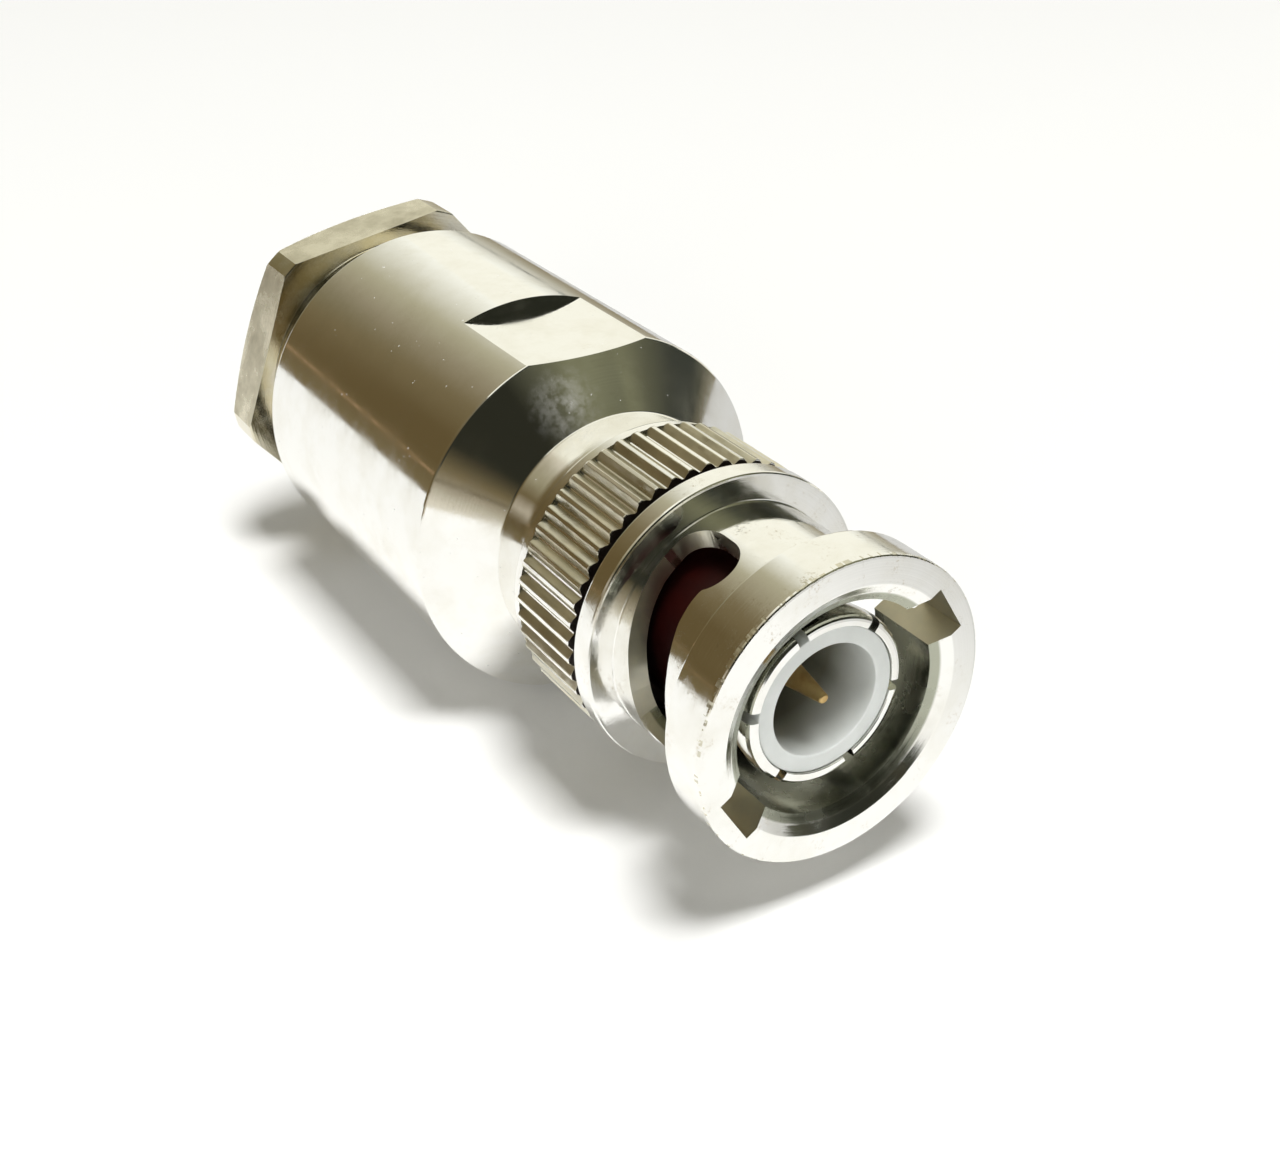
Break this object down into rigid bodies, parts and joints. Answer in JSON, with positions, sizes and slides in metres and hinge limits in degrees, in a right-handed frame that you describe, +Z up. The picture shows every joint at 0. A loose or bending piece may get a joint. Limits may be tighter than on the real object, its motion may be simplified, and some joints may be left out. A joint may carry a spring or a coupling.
{
  "type": "coaxial plug",
  "caption": "Bayonet coaxial plug with a knurled turning nut, slotted outer contact, centre pin and a cable-clamp rear nut.",
  "frame": {"origin": "under the middle of the plug, on the surface that the grip cylinder lies on", "axes": "+X along the plug's axis, out of the mating end; +Z up, square to the wrench flats; +Y to the left of the mating direction"},
  "size_m": [0.0456, 0.0196, 0.0191],
  "materials": {
    "nickel": "polished",
    "ptfe": "satin",
    "red_silicone": "satin",
    "gold": "polished",
    "bare_brass": "satin",
    "spring_bronze": "satin",
    "black_rubber": "matte"
  },
  "bodies": {
    "plug": {"body": "nickel", "outer_contact": "nickel", "front_gasket": "red_silicone", "front_insulator": "ptfe", "rear_insulator": "ptfe", "centre_contact": "gold", "braid_clamp": "nickel", "cable_gasket": "black_rubber", "wave_spring_front": "spring_bronze", "wave_spring_rear": "spring_bronze"},
    "spring_plate": {"thrust_washer": "bare_brass"},
    "turning_nut": {"coupling_nut": "nickel"},
    "clamp_ring": {"clamp_washer": "bare_brass"},
    "rear_nut": {"clamp_nut": "nickel"}
  },
  "joints": [
    {"name": "nut_pull", "type": "slide", "parent": "plug", "child": "spring_plate", "axis": [1, 0, 0], "range_m": [0, 0.0006], "stiffness_N_per_m": 8000, "springref_m": -0.001, "deforming": ["wave_spring_front", "wave_spring_rear"]},
    {"name": "nut_turn", "type": "hinge", "parent": "spring_plate", "child": "turning_nut", "pos_m": [0, 0, 0.00955], "axis": [1, 0, 0], "continuous": true},
    {"name": "clamp_nut_travel", "type": "slide", "parent": "plug", "child": "clamp_ring", "axis": [-1, 0, 0], "range_m": [-0.0012, 0.005]},
    {"name": "clamp_nut_turn", "type": "hinge", "parent": "clamp_ring", "child": "rear_nut", "pos_m": [0, 0, 0.00955], "axis": [-1, 0, 0], "range_deg": [-433, 1801]}
  ],
  "couplings": [
    {"joint": "clamp_nut_turn", "follows": "clamp_nut_travel", "rad_per_m": 6283.2}
  ]
}
